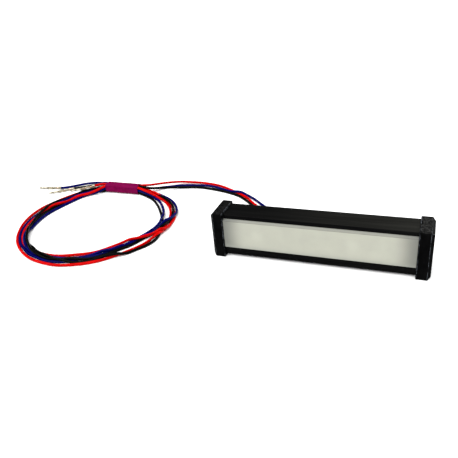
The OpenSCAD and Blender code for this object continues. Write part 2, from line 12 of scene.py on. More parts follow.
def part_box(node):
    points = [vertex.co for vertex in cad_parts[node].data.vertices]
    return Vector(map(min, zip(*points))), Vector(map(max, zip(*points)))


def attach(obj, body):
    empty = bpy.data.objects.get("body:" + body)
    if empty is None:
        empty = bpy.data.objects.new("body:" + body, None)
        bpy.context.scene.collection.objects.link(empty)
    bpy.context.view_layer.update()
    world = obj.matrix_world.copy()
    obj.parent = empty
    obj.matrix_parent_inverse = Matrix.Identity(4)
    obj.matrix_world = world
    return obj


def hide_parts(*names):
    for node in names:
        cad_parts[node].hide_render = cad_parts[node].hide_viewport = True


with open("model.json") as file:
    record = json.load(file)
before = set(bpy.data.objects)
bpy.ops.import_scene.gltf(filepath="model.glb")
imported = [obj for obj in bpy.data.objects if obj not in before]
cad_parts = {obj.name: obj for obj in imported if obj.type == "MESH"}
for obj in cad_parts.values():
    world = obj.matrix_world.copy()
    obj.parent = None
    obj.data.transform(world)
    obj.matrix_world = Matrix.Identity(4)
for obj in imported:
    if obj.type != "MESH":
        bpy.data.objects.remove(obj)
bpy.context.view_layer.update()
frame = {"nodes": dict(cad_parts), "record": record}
scene = bpy.context.scene
scene.view_settings.view_transform = "Standard"

# ---------- Camera ----------

CAMERA_AT = (0.06717, -0.31667, 0.20182)
CAMERA_RIGHT = Vector((0.9343, 0.3459, -0.0859))
CAMERA_UP = Vector((-0.0938, 0.4712, 0.8770))
CAMERA_LENS = 40.94
CAMERA_SENSOR = 36


def make_camera():
    data = bpy.data.cameras.new("camera")
    data.lens = CAMERA_LENS
    data.sensor_width = CAMERA_SENSOR
    data.clip_start = 0.01
    data.clip_end = 100
    camera = bpy.data.objects.new("camera", data)
    scene.collection.objects.link(camera)
    back = CAMERA_RIGHT.cross(CAMERA_UP)
    turn = Matrix((CAMERA_RIGHT, CAMERA_UP, back)).transposed()
    camera.matrix_world = Matrix.Translation(CAMERA_AT) @ turn.to_4x4()
    scene.camera = camera


make_camera()

# ---------- Leads ----------

band_low, band_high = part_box("bundle_sleeve")
BAND_X = (band_low[0], band_high[0])
# Room between the band's outside and the surface of a lead in it
BAND_ROOM = 0.0009
WIRE_R = 0.00115
# Distance between samples along a lead
SPACING = 0.001

# The routes of the leads, as in the part's source
BLACK_ROUTE = [
    (-0.029, 0.0053, 0.0082), (-0.034, 0.0049, 0.0086), (-0.0375, 0.0049, 0.0092),
    (-0.04, 0.0058, 0.0102), (-0.0412, 0.0074, 0.0107), (-0.0415, 0.01, 0.0107),
    (-0.0415, 0.015, 0.0106), (-0.042, 0.024, 0.0086), (-0.044, 0.035, 0.0048),
    (-0.05, 0.047, 0.0018), (-0.06, 0.06, 0.00115), (-0.0758, 0.0755, 0.00115),
    (-0.0837, 0.0832, 0.00115), (-0.0928, 0.0904, 0.00115), (-0.1074, 0.0963, 0.00115),
    (-0.1216, 0.1, 0.00115), (-0.1368, 0.1019, 0.00115), (-0.1492, 0.0999, 0.0013),
    (-0.1606, 0.0956, 0.0022), (-0.1667, 0.0902, 0.0038), (-0.1728, 0.0849, 0.0054),
    (-0.1792, 0.0803, 0.0068), (-0.19, 0.081, 0.0074), (-0.208, 0.081, 0.006),
    (-0.227, 0.081, 0.0046), (-0.2374, 0.0785, 0.0048), (-0.2454, 0.0734, 0.0044),
    (-0.2517, 0.0666, 0.0039), (-0.2578, 0.057, 0.0036), (-0.2615, 0.0447, 0.0035),
    (-0.2625, 0.037, 0.0035), (-0.2622, 0.0279, 0.0034), (-0.2613, 0.0192, 0.0031),
    (-0.2581, 0.0086, 0.0034), (-0.2541, -0.0019, 0.0038), (-0.2497, -0.0115, 0.0038),
    (-0.245, -0.0193, 0.0034), (-0.2389, -0.0267, 0.0034), (-0.2308, -0.0341, 0.0034),
    (-0.2209, -0.0408, 0.0034), (-0.2099, -0.0462, 0.0034), (-0.177, -0.047, 0.0034),
    (-0.163, -0.04, 0.0034), (-0.15, -0.03, 0.0034), (-0.1436, -0.0251, 0.0026),
    (-0.1394, -0.0182, 0.0013), (-0.1349, -0.0118, 0.00115), (-0.132, -0.0045, 0.00115),
    (-0.1317, 0.0036, 0.00115), (-0.133, 0.0119, 0.00115), (-0.1361, 0.0208, 0.00115),
    (-0.1401, 0.0292, 0.00115), (-0.1453, 0.0377, 0.00115), (-0.1513, 0.0465, 0.00115),
    (-0.158, 0.0555, 0.00115), (-0.1654, 0.0639, 0.00115), (-0.1732, 0.0704, 0.00115),
    (-0.1821, 0.0753, 0.0013), (-0.19, 0.078, 0.0018), (-0.208, 0.078, 0.0018),
    (-0.227, 0.078, 0.0018), (-0.2376, 0.0747, 0.0013), (-0.2436, 0.0695, 0.00115),
    (-0.2488, 0.0613, 0.00115), (-0.2515, 0.0541, 0.00115), (-0.2546, 0.045, 0.00115),
    (-0.258, 0.0378, 0.00115), (-0.2597, 0.0299, 0.00115), (-0.2602, 0.0219, 0.00115),
    (-0.2595, 0.0132, 0.00115), (-0.2572, 0.0037, 0.00115), (-0.253, -0.0066, 0.00115),
    (-0.2483, -0.0154, 0.00115), (-0.2421, -0.0237, 0.0016), (-0.2336, -0.0312, 0.0028),
    (-0.2246, -0.0376, 0.0034), (-0.2151, -0.0422, 0.0034), (-0.195, -0.046, 0.0034),
    (-0.179, -0.044, 0.0034), (-0.166, -0.037, 0.002), (-0.1566, -0.0258, 0.00115),
    (-0.153, -0.0198, 0.00115), (-0.149, -0.0137, 0.00115), (-0.1461, -0.0081, 0.00115),
    (-0.1437, -0.0026, 0.00115), (-0.1413, 0.003, 0.0014), (-0.1387, 0.0071, 0.0022),
    (-0.1363, 0.0118, 0.0032), (-0.1352, 0.0188, 0.0035), (-0.1342, 0.0262, 0.0035),
    (-0.1341, 0.0342, 0.0036), (-0.1363, 0.0431, 0.0034), (-0.14, 0.0507, 0.0034),
    (-0.1452, 0.058, 0.0034), (-0.1524, 0.065, 0.0034), (-0.1597, 0.0698, 0.0034),
    (-0.168, 0.0746, 0.0024), (-0.1756, 0.0785, 0.0015), (-0.1822, 0.0807, 0.0013),
    (-0.19, 0.081, 0.0018), (-0.208, 0.082, 0.0032), (-0.227, 0.084, 0.0046),
    (-0.237, 0.0885, 0.0028), (-0.247, 0.0895, 0.0012), (-0.256, 0.084, 0.0012),
    (-0.262, 0.0796, 0.0013),
]
RED_ROUTE = [
    (-0.029, 0.0053, 0.015), (-0.0335, 0.0049, 0.0146), (-0.0375, 0.0054, 0.0138),
    (-0.0394, 0.0072, 0.0134), (-0.04, 0.01, 0.0133), (-0.04, 0.015, 0.0132),
    (-0.0405, 0.025, 0.011), (-0.043, 0.037, 0.0064), (-0.049, 0.05, 0.0026),
    (-0.059, 0.063, 0.00115), (-0.066, 0.0695, 0.00115), (-0.073, 0.076, 0.00115),
    (-0.0825, 0.0867, 0.00115), (-0.0914, 0.0934, 0.00115), (-0.1027, 0.1007, 0.00115),
    (-0.1187, 0.1091, 0.00115), (-0.1332, 0.1124, 0.00115), (-0.1415, 0.113, 0.0013),
    (-0.1583, 0.1101, 0.0022), (-0.1684, 0.1029, 0.0038), (-0.1773, 0.0937, 0.0056),
    (-0.1828, 0.087, 0.0068), (-0.19, 0.084, 0.0074), (-0.208, 0.084, 0.0046),
    (-0.227, 0.084, 0.0018), (-0.2397, 0.0814, 0.00115), (-0.2479, 0.076, 0.00115),
    (-0.254, 0.0689, 0.00115), (-0.2599, 0.059, 0.00115), (-0.2637, 0.0507, 0.00115),
    (-0.267, 0.042, 0.00115), (-0.2698, 0.0329, 0.00115), (-0.2702, 0.0213, 0.00115),
    (-0.2683, 0.0086, 0.00115), (-0.2634, -0.0051, 0.00115), (-0.2568, -0.0168, 0.00115),
    (-0.2491, -0.027, 0.00115), (-0.239, -0.0368, 0.00115), (-0.2285, -0.0439, 0.00115),
    (-0.2172, -0.0494, 0.00115), (-0.206, -0.052, 0.00115), (-0.19, -0.053, 0.00115),
    (-0.174, -0.048, 0.00115), (-0.161, -0.04, 0.00115), (-0.15, -0.029, 0.00115),
    (-0.1454, -0.0225, 0.00115), (-0.1416, -0.0167, 0.00115), (-0.138, -0.0103, 0.00115),
    (-0.1354, -0.0031, 0.0014), (-0.1329, 0.0035, 0.0026), (-0.132, 0.0107, 0.0034),
    (-0.1335, 0.0213, 0.0024), (-0.1356, 0.0316, 0.00115), (-0.1383, 0.0407, 0.00115),
    (-0.1427, 0.0497, 0.00115), (-0.1484, 0.0581, 0.00115), (-0.156, 0.0661, 0.0013),
    (-0.1636, 0.071, 0.002), (-0.171, 0.0738, 0.0034), (-0.1775, 0.0748, 0.0052),
    (-0.1832, 0.0758, 0.0066), (-0.19, 0.078, 0.0074), (-0.208, 0.078, 0.0074),
    (-0.227, 0.078, 0.0074), (-0.2313, 0.0734, 0.0064), (-0.2367, 0.0694, 0.0052),
    (-0.2408, 0.065, 0.0043), (-0.2453, 0.0601, 0.0036), (-0.2496, 0.0523, 0.0034),
    (-0.2537, 0.0445, 0.0032), (-0.2575, 0.0377, 0.0026), (-0.2613, 0.0322, 0.0018),
    (-0.2638, 0.0253, 0.0013), (-0.263, 0.0141, 0.00115), (-0.2604, 0.0019, 0.00115),
    (-0.2564, -0.0091, 0.00115), (-0.2511, -0.0186, 0.00115), (-0.2449, -0.0261, 0.00115),
    (-0.2377, -0.0324, 0.00115), (-0.231, -0.035, 0.00115), (-0.215, -0.04, 0.00115),
    (-0.199, -0.041, 0.00115), (-0.184, -0.036, 0.0013), (-0.17, -0.029, 0.0024),
    (-0.1601, -0.0167, 0.00115), (-0.155, -0.0113, 0.00115), (-0.1506, -0.008, 0.0018),
    (-0.1461, -0.006, 0.003), (-0.1426, -0.0025, 0.0034), (-0.1395, 0.0018, 0.0036),
    (-0.1366, 0.0051, 0.0042), (-0.1332, 0.008, 0.0052), (-0.1312, 0.0108, 0.0056),
    (-0.1303, 0.0158, 0.005), (-0.1306, 0.0229, 0.0034), (-0.1317, 0.0311, 0.0018),
    (-0.1339, 0.0399, 0.00115), (-0.1378, 0.0473, 0.00115), (-0.1423, 0.0544, 0.00115),
    (-0.1474, 0.0604, 0.00115), (-0.1534, 0.0664, 0.00115), (-0.1593, 0.0717, 0.00115),
    (-0.1653, 0.0759, 0.0014), (-0.1709, 0.0785, 0.0024), (-0.1759, 0.0798, 0.0034),
    (-0.1821, 0.0814, 0.004), (-0.19, 0.081, 0.0046), (-0.208, 0.081, 0.006),
    (-0.227, 0.081, 0.0074), (-0.233, 0.0828, 0.0064), (-0.2385, 0.0841, 0.0047),
]
BLUE_ROUTE = [
    (-0.029, 0.0053, 0.0116), (-0.0325, 0.0049, 0.0116), (-0.036, 0.0054, 0.0112),
    (-0.0379, 0.0072, 0.0108), (-0.0385, 0.01, 0.0107), (-0.0385, 0.015, 0.0106),
    (-0.0385, 0.025, 0.0088), (-0.039, 0.037, 0.005), (-0.043, 0.049, 0.0018),
    (-0.051, 0.062, 0.00115), (-0.06, 0.071, 0.0012), (-0.0662, 0.0765, 0.00115),
    (-0.0764, 0.0865, 0.0013), (-0.0818, 0.0902, 0.002), (-0.0873, 0.0926, 0.003),
    (-0.0941, 0.0946, 0.0035), (-0.1011, 0.0967, 0.0035), (-0.1085, 0.0998, 0.0034),
    (-0.1163, 0.1032, 0.0028), (-0.124, 0.1061, 0.0016), (-0.131, 0.1071, 0.00115),
    (-0.1388, 0.1066, 0.00115), (-0.1556, 0.1039, 0.00115), (-0.1666, 0.0985, 0.0014),
    (-0.1737, 0.0927, 0.0024), (-0.1797, 0.087, 0.0036), (-0.19, 0.084, 0.0046),
    (-0.208, 0.082, 0.0032), (-0.227, 0.081, 0.0018), (-0.2378, 0.0785, 0.0013),
    (-0.2458, 0.0727, 0.00115), (-0.2515, 0.0652, 0.00115), (-0.2571, 0.0551, 0.00115),
    (-0.2604, 0.0462, 0.0013), (-0.2623, 0.0373, 0.0017), (-0.2633, 0.0289, 0.0023),
    (-0.2644, 0.0205, 0.0026), (-0.2639, 0.0087, 0.0026), (-0.2602, -0.0045, 0.0026),
    (-0.2541, -0.0167, 0.0026), (-0.2468, -0.0262, 0.0026), (-0.2384, -0.034, 0.0024),
    (-0.2292, -0.0398, 0.002), (-0.2192, -0.0446, 0.0016), (-0.2079, -0.048, 0.0013),
    (-0.189, -0.048, 0.00115), (-0.176, -0.041, 0.00115), (-0.166, -0.033, 0.00115),
    (-0.1568, -0.0231, 0.00115), (-0.1535, -0.0177, 0.00115), (-0.1506, -0.0117, 0.00115),
    (-0.1479, -0.0062, 0.00115), (-0.1461, -0.001, 0.00115), (-0.1446, 0.0047, 0.0013),
    (-0.1432, 0.0109, 0.0016), (-0.1418, 0.0168, 0.0024), (-0.1409, 0.023, 0.0032),
    (-0.1413, 0.0296, 0.0034), (-0.1436, 0.0372, 0.0032), (-0.148, 0.0466, 0.0022),
    (-0.1555, 0.0582, 0.0013), (-0.1636, 0.0673, 0.00115), (-0.1728, 0.0732, 0.0016),
    (-0.1806, 0.0749, 0.0032), (-0.19, 0.078, 0.0046), (-0.208, 0.078, 0.0046),
    (-0.227, 0.078, 0.0046), (-0.2331, 0.0714, 0.0034), (-0.2407, 0.0682, 0.0016),
    (-0.2449, 0.0614, 0.00115), (-0.248, 0.0532, 0.00115), (-0.2505, 0.0446, 0.00115),
    (-0.253, 0.0363, 0.00115), (-0.2548, 0.0286, 0.0013), (-0.2558, 0.0214, 0.0016),
    (-0.2555, 0.0133, 0.0022), (-0.2541, 0.0037, 0.0028), (-0.2515, -0.0067, 0.0032),
    (-0.2485, -0.0163, 0.003), (-0.244, -0.0243, 0.0028), (-0.2365, -0.0322, 0.0032),
    (-0.228, -0.0386, 0.0032), (-0.2185, -0.0436, 0.0028), (-0.201, -0.044, 0.0012),
    (-0.186, -0.042, 0.00115), (-0.174, -0.037, 0.00115), (-0.163, -0.029, 0.0014),
    (-0.1568, -0.0257, 0.0022), (-0.1532, -0.0193, 0.0018), (-0.1501, -0.0129, 0.0016),
    (-0.1474, -0.007, 0.00115), (-0.1455, -0.0022, 0.00115), (-0.1435, 0.0027, 0.0013),
    (-0.1413, 0.0075, 0.002), (-0.1388, 0.012, 0.0032), (-0.1364, 0.017, 0.0046),
    (-0.1347, 0.0231, 0.0055), (-0.1333, 0.0306, 0.0056), (-0.1332, 0.0393, 0.005),
    (-0.135, 0.0471, 0.004), (-0.1395, 0.0555, 0.0026), (-0.1459, 0.0643, 0.0014),
    (-0.1533, 0.0711, 0.00115), (-0.1607, 0.0755, 0.00115), (-0.1687, 0.0789, 0.00115),
    (-0.1765, 0.0818, 0.00115), (-0.1837, 0.0834, 0.0013), (-0.19, 0.084, 0.0018),
    (-0.208, 0.084, 0.0046), (-0.227, 0.084, 0.0074), (-0.235, 0.088, 0.006),
    (-0.242, 0.0925, 0.0034), (-0.25, 0.095, 0.0014), (-0.259, 0.092, 0.00115),
    (-0.268, 0.0848, 0.00115), (-0.275, 0.0791, 0.00135),
]

# Each contact: where its insulation grip starts, the heading of its pin and how far it dips
CONTACTS = {
    "red": ((-0.2442, 0.0839, 0.0031), 207, 5.3),
    "blue": ((-0.2803, 0.0767, 0.00145), 190, 0),
    "black": ((-0.265, 0.0774, 0.00145), 216, 0),
}
# How far a lead runs into its contact's grip
LEAD_IN = 0.0019

# How the leads settle. Blurs and NEIGHBOURS are in samples, and a lead sinks by SINK times PULL in a step.
STEPS = 260
SINKING_STEPS = 200
SINK = 0.002
BLUR_SINKING = 3
BLUR_RESTING = 1.6
BLUR_KINKS = 1.5
KINKS_OUT = 0.25
APART = 2.03 * WIRE_R
NEAR = 0.0009
PAIRS_EVERY = 5
NEIGHBOURS = 8
PULL = 0.01
PULL_ACROSS = 3
PULL_UP = 4
OVERSHOOT = 1.6
# Samples at a lead's ends that are held, or keep the height of their route
HELD_AT_CONTACT = 5
SHAPED_AT_BAR = 75
SHAPED_AT_CONTACT = 40
# A sample is in the bar if its y is under BAR_BACK and its x over BAR_LEFT, and at the band if its y is
# over BAND_FRONT
BAR_BACK = 0.0135
BAR_LEFT = -0.06
BAND_FRONT = 0.07
# How far past the band's right end the leads still keep their height
BAND_FAN = 0.034
SPLINE_SAMPLES = 16
TINY = 1e-9


def contact_matrix(name):
    place, heading, dip = CONTACTS[name]
    turn = Matrix.Rotation(math.radians(heading), 4, "Z")
    return Matrix.Translation(place) @ turn @ Matrix.Rotation(math.radians(dip), 4, "Y")


def smooth_line(points, spacing):
    """A centripetal spline through the points, resampled evenly."""
    p = np.array(points, float)
    p = np.vstack([2 * p[0] - p[1], p, 2 * p[-1] - p[-2]])
    out = []
    for a, b, c, d in zip(p, p[1:], p[2:], p[3:]):
        t1 = math.sqrt(np.linalg.norm(b - a))
        t2 = t1 + math.sqrt(np.linalg.norm(c - b))
        t3 = t2 + math.sqrt(np.linalg.norm(d - c))
        for t in np.linspace(t1, t2, SPLINE_SAMPLES, endpoint=False):
            ab = (t1 - t) / t1 * a + t / t1 * b
            bc = (t2 - t) / (t2 - t1) * b + (t - t1) / (t2 - t1) * c
            cd = (t3 - t) / (t3 - t2) * c + (t - t2) / (t3 - t2) * d
            abc = (t2 - t) / t2 * ab + t / t2 * bc
            bcd = (t3 - t) / (t3 - t1) * bc + (t - t1) / (t3 - t1) * cd
            out.append((t2 - t) / (t2 - t1) * abc + (t - t1) / (t2 - t1) * bcd)
    line = np.array(out + [p[-2]])
    along = np.concatenate([[0], np.cumsum(np.linalg.norm(np.diff(line, axis=0), axis=1))])
    at = np.linspace(0, along[-1], round(along[-1] / spacing) + 1)
    return np.stack([np.interp(at, along, line[:, k]) for k in range(3)], axis=1)


def blurred(values, strands, sigma):
    """The values smoothed along each strand."""
    reach = math.ceil(3 * sigma)
    kernel = np.exp(-0.5 * (np.arange(-reach, reach + 1) / sigma) ** 2)
    kernel /= kernel.sum()
    out = np.empty_like(values)
    for s in strands:
        padded = np.pad(values[s], ((reach, reach), (0, 0)), mode="edge")
        for k in range(3):
            out[s, k] = np.convolve(padded[:, k], kernel, mode="valid")
    return out


def touching(places, owner, within):
    """Pairs of points that are near each other and not neighbours on one strand."""
    tree = KDTree(len(places))
    for i, p in enumerate(places):
        tree.insert(p, i)
    tree.balance()
    pairs = [
        (i, j)
        for i, p in enumerate(places)
        for _, j, _ in tree.find_range(p, within)
        if j > i and (owner[i] != owner[j] or j - i > NEIGHBOURS)
    ]
    return np.array(pairs, int).reshape(-1, 2)


def settle(lines):
    """Lets the leads down on to the surface and on to each other, from their routes.

    The grommet and the contacts hold them, and the band keeps them inside it.
    """
    places = np.vstack(lines)
    start = places.copy()
    owner = np.repeat(np.arange(len(lines)), [len(n) for n in lines])
    ends = np.cumsum([len(n) for n in lines])
    strands = [slice(e - len(n), e) for n, e in zip(lines, ends)]
    x, y = places[:, 0].copy(), places[:, 1].copy()
    held = (y < BAR_BACK) & (x > BAR_LEFT)
    banded = (x > BAND_X[0]) & (x < BAND_X[1]) & (y > BAND_FRONT)
    shaped = (x > BAND_X[0]) & (x < BAND_X[1] + BAND_FAN) & (y > BAND_FRONT)
    for s in strands:
        held[s.stop - HELD_AT_CONTACT : s.stop] = True
        shaped[s.start : s.start + SHAPED_AT_BAR] = True
        shaped[s.stop - SHAPED_AT_CONTACT : s.stop] = True
    free = np.repeat((~held)[:, None].astype(float), 3, axis=1)
    free = np.clip(2 * blurred(free, strands, 5) - 1, 0, 1)
    firm = blurred(np.repeat(shaped[:, None].astype(float), 3, axis=1), strands, 6)
    margin = BAND_ROOM + WIRE_R
    inside_low = (BAND_X[0], band_low[1] + margin, band_low[2] + margin)
    inside_high = (BAND_X[1], band_high[1] - margin, band_high[2] - margin)
    for step in range(STEPS):
        sinking = SINK if step < SINKING_STEPS else 0.0
        sigma = BLUR_SINKING if step < SINKING_STEPS else BLUR_RESTING
        if step % PAIRS_EVERY == 0:
            pairs = touching(places, owner, APART + NEAR)
        move = np.zeros_like(places)
        share = np.full((len(places), 1), TINY)
        a, b = pairs[:, 0], pairs[:, 1]
        gap = places[a] - places[b]
        far = np.linalg.norm(gap, axis=1, keepdims=True)
        push = np.maximum(APART - far, 0) / np.maximum(far, TINY) * gap / 2
        hit = (far < APART).astype(float)
        for side, sign in ((a, 1), (b, -1)):
            np.add.at(move, side, sign * push)
            np.add.at(share, side, hit)
        move /= np.maximum(share, 1)
        drift = start - places
        drift[:, :2] *= PULL_ACROSS
        drift[:, 2] = firm[:, 2] * drift[:, 2] * PULL_UP - (1 - firm[:, 2]) * sinking
        move += PULL * drift
        places += free * blurred(move, strands, sigma) * OVERSHOOT
        places[:, 2] = np.where(held, places[:, 2], np.maximum(places[:, 2], WIRE_R))
        places[banded] = np.clip(places[banded], inside_low, inside_high)
        smoother = blurred(places, strands, BLUR_KINKS)
        places += free * KINKS_OUT * (smoother - places)
    return [places[s] for s in strands]


def curve_object(name, line, radius):
    data = bpy.data.curves.new(name, "CURVE")
    data.dimensions = "3D"
    data.bevel_depth = radius
    data.bevel_resolution = 5
    data.use_fill_caps = True
    spline = data.splines.new("POLY")
    spline.points.add(len(line) - 1)
    for point, place in zip(spline.points, line):
        point.co = (*place, 1)
    spline.use_smooth = True
    piece = bpy.data.objects.new(name, data)
    scene.collection.objects.link(piece)
    return piece


def make_leads():
    routes = {"red": RED_ROUTE, "blue": BLUE_ROUTE, "black": BLACK_ROUTE}
    lines = []
    for name, route in routes.items():
        ends = [contact_matrix(name) @ Vector((x, 0, 0)) for x in (0, LEAD_IN)]
        lines.append(smooth_line([*route, *ends], SPACING))
    pieces = {}
    for name, line in zip(routes, settle(lines)):
        pieces[name] = curve_object("lead_" + name, line, WIRE_R)
    return pieces


leads = make_leads()

# ---------- Materials ----------


class Look:
    """A procedural material on one Principled shader, in the frame's own coordinates."""

    def __init__(self, name, **constants):
        self.material = bpy.data.materials.new(name)
        self.material.use_nodes = True
        self.tree = self.material.node_tree
        self.shader = self.tree.nodes["Principled BSDF"]
        self.place = self.tree.nodes.new("ShaderNodeTexCoord").outputs["Object"]
        for key, value in constants.items():
            self.shader.inputs[key.replace("_", " ")].default_value = value

    def put(self, socket, value):
        """Links another node's output to the socket, or sets a number or a colour."""
        if isinstance(value, bpy.types.NodeSocket):
            self.tree.links.new(value, socket)
        elif isinstance(value, tuple) and len(value) == 3 and socket.type == "RGBA":
            socket.default_value = (*value, 1)
        else:
            socket.default_value = value

    def math(self, operation, a, b=0.0):
        node = self.tree.nodes.new("ShaderNodeMath")
        node.operation = operation
        self.put(node.inputs[0], a)
        self.put(node.inputs[1], b)
        return node.outputs[0]

    def axes(self):
        node = self.tree.nodes.new("ShaderNodeSeparateXYZ")
        self.put(node.inputs[0], self.place)
        return node.outputs

    def noise(self, scale, detail=3.0, stretch=(1, 1, 1), roughness=0.55):
        mapping = self.tree.nodes.new("ShaderNodeMapping")
        self.put(mapping.inputs["Vector"], self.place)
        mapping.inputs["Scale"].default_value = stretch
        node = self.tree.nodes.new("ShaderNodeTexNoise")
        self.put(node.inputs["Vector"], mapping.outputs[0])
        node.inputs["Scale"].default_value = scale
        node.inputs["Detail"].default_value = detail
        node.inputs["Roughness"].default_value = roughness
        return node.outputs["Fac"]

    def attribute(self, name):
        node = self.tree.nodes.new("ShaderNodeAttribute")
        node.attribute_name = name
        return node.outputs["Fac"]

    def spread(self, value, low, high, to_low=0.0, to_high=1.0):
        """The value mapped smoothly from its range low..high to to_low..to_high."""
        node = self.tree.nodes.new("ShaderNodeMapRange")
        node.interpolation_type = "SMOOTHSTEP"
        for socket, number in zip(node.inputs, (value, low, high, to_low, to_high)):
            self.put(socket, number)
        return node.outputs[0]

    def mix(self, fac, a, b):
        node = self.tree.nodes.new("ShaderNodeMix")
        node.data_type = "RGBA"
        self.put(node.inputs[0], fac)
        self.put(node.inputs[6], a)
        self.put(node.inputs[7], b)
        return node.outputs[2]

    def colour(self, value):
        self.put(self.shader.inputs["Base Color"], value)

    def rough(self, value):
        self.put(self.shader.inputs["Roughness"], value)

    def upward(self):
        """1 where the surface faces up, and 0 on its sides."""
        node = self.tree.nodes.new("ShaderNodeSeparateXYZ")
        self.put(node.inputs[0], self.tree.nodes.new("ShaderNodeNewGeometry").outputs["Normal"])
        return self.spread(node.outputs[2], 0.5, 0.95)

    def bump(self, height, distance):
        node = self.tree.nodes.new("ShaderNodeBump")
        node.inputs["Strength"].default_value = 1.0
        node.inputs["Distance"].default_value = distance
        self.put(node.inputs["Height"], height)
        self.put(self.shader.inputs["Normal"], node.outputs[0])


def anodised():
    """Drawn black aluminium, with edge wear that is also a painted highlight, and pale dusting on top that
    thickens to the right, partly a painted reflection.
    """
    look = Look("anodised_black", Specular_IOR_Level=0.02)
    drawn = look.noise(1500, 4, (0.012, 1, 1))
    broad = look.noise(160, 2, (0.08, 1, 1))
    tone = look.math("MULTIPLY", drawn, broad)
    # Edges in a pale bluish grey: partly real wear, partly a painted highlight along the edges.
    wear_and_highlight = look.math("MULTIPLY", look.attribute("edge"), look.spread(look.noise(420, 4), 0.45, 0.75))
    base = look.mix(look.spread(tone, 0.12, 0.42), (0.0005, 0.0005, 0.0006), (0.003, 0.003, 0.003))
    # Pale dust on upward faces, made paler to the right: partly dust, partly a painted reflection on the
    # top.
    dust_and_sheen = look.math("MULTIPLY", look.upward(), look.spread(drawn, 0.4, 0.75, 0.35, 1))
    painted_sheen_to_right = look.spread(look.axes()[0], -0.05, 0.075, 0.05, 0.9)
    base = look.mix(look.math("MULTIPLY", dust_and_sheen, painted_sheen_to_right), base, (0.022, 0.022, 0.019))
    look.colour(look.mix(look.math("MULTIPLY", wear_and_highlight, 0.35), base, (0.16, 0.17, 0.19)))
    look.rough(look.spread(drawn, 0.3, 0.7, 0.3, 0.44))
    look.bump(drawn, 0.000003)
    return look.material


def moulded():
    """Fine-grained black plastic, with scuffed edges that are also a painted highlight, and dusting on top
    that grows to the right, partly a painted sheen.
    """
    look = Look("moulded_black", Specular_IOR_Level=0.008)
    grain = look.noise(2600, 5)
    cloud = look.noise(120, 3)
    edge = look.attribute("edge")
    # Edges in a pale bluish grey: partly real scuffs, partly a painted highlight along the edges.
    scuffs_and_glints = look.spread(look.noise(330, 5, (1, 1, 1), 0.7), 0.42, 0.66)
    wear_and_highlight = look.math("MULTIPLY", edge, scuffs_and_glints)
    base = look.mix(look.spread(cloud, 0.3, 0.75), (0.0006, 0.0006, 0.0007), (0.0024, 0.0024, 0.0025))
    # Dust on upward faces, paler to the right: partly dust, partly painted light on the tops.
    dust_and_sheen = look.math("MULTIPLY", look.upward(), look.spread(look.noise(700, 5), 0.38, 0.7))
    painted_sheen_to_right = look.spread(look.axes()[0], -0.075, 0.075, 0.4, 1)
    base = look.mix(look.math("MULTIPLY", dust_and_sheen, painted_sheen_to_right), base, (0.03, 0.03, 0.029))
    look.colour(look.mix(look.math("MULTIPLY", wear_and_highlight, 0.85), base, (0.26, 0.29, 0.33)))
    look.rough(look.spread(cloud, 0.3, 0.7, 0.42, 0.6))
    look.bump(grain, 0.000005)
    return look.material


# The lens: its middle, with painted light where a package would shine through, and painted shade at its
# foot, its ends and its crown
FROST = (0.34, 0.344, 0.288)
# Painted light over each package
FROST_PAINTED_GLOW = (0.39, 0.393, 0.333)
# Painted shade at the foot, and also the cloudy tone of the lens
FROST_DIM_TONE_AND_SHADE = (0.225, 0.232, 0.208)
# Painted shade at the ends, the crown and the thin line
FROST_PAINTED_SHADE = (0.09, 0.092, 0.084)
LENS_END_X = (0.05, 0.0668)
LENS_FOOT_Z = (0.0127, 0.008)
LENS_CROWN_Z = (0.0294, 0.0302)
LENS_LINE_Z = 0.0297
LED_PITCH = 0.017
LED_Z = 0.0195


def frosted():
    """A frosted lens, painted paler over each white package as painted light, and darker towards its rims
    as painted shade.
    """
    look = Look("frosted_lens", Specular_IOR_Level=0.25)
    x, _, z = look.axes()
    span = look.math("ABSOLUTE", x)
    # Masks of painted shade: towards the ends, the foot, the crown and along a thin line near the top.
    ends = look.spread(span, *LENS_END_X)
    foot_shade = look.spread(z, *LENS_FOOT_Z)
    crown_shade = look.spread(z, *LENS_CROWN_Z)
    off_line = look.math("ABSOLUTE", look.math("SUBTRACT", z, LENS_LINE_Z))
    line = look.spread(off_line, 0.0003, 0.0001)
    # Painted light: a soft paler patch over each package, broken up by noise.
    step = look.math("SUBTRACT", look.math("FRACT", look.math("DIVIDE", x, LED_PITCH)), 0.5)
    across = look.math("POWER", look.math("MULTIPLY", step, 3.0), 2.0)
    rise = look.math("DIVIDE", look.math("SUBTRACT", z, LED_Z), 0.0062)
    near = look.math("ADD", across, look.math("POWER", rise, 2.0))
    painted_glow = look.math("POWER", math.e, look.math("MULTIPLY", near, -1.0))
    patchy = look.spread(look.noise(38, 1), 0.42, 0.62)
    painted_glow = look.math("MULTIPLY", painted_glow, look.math("MULTIPLY", patchy, 0.55))
    body = look.mix(painted_glow, FROST, FROST_PAINTED_GLOW)
    # Painted shade laid over the body at the ends, the foot, the crown and the line.
    body = look.mix(look.math("MULTIPLY", ends, 0.8), body, FROST_PAINTED_SHADE)
    body = look.mix(look.math("MULTIPLY", foot_shade, 0.45), body, FROST_DIM_TONE_AND_SHADE)
    body = look.mix(look.math("MULTIPLY", crown_shade, 0.6), body, FROST_PAINTED_SHADE)
    body = look.mix(look.math("MULTIPLY", line, 0.45), body, FROST_PAINTED_SHADE)
    fine = look.noise(5200, 3)
    cloud = look.noise(90, 4)
    look.colour(look.mix(look.spread(cloud, 0.35, 0.8, 0, 0.18), body, FROST_DIM_TONE_AND_SHADE))
    look.rough(look.spread(fine, 0.3, 0.7, 0.36, 0.48))
    look.bump(fine, 0.000008)
    return look.material


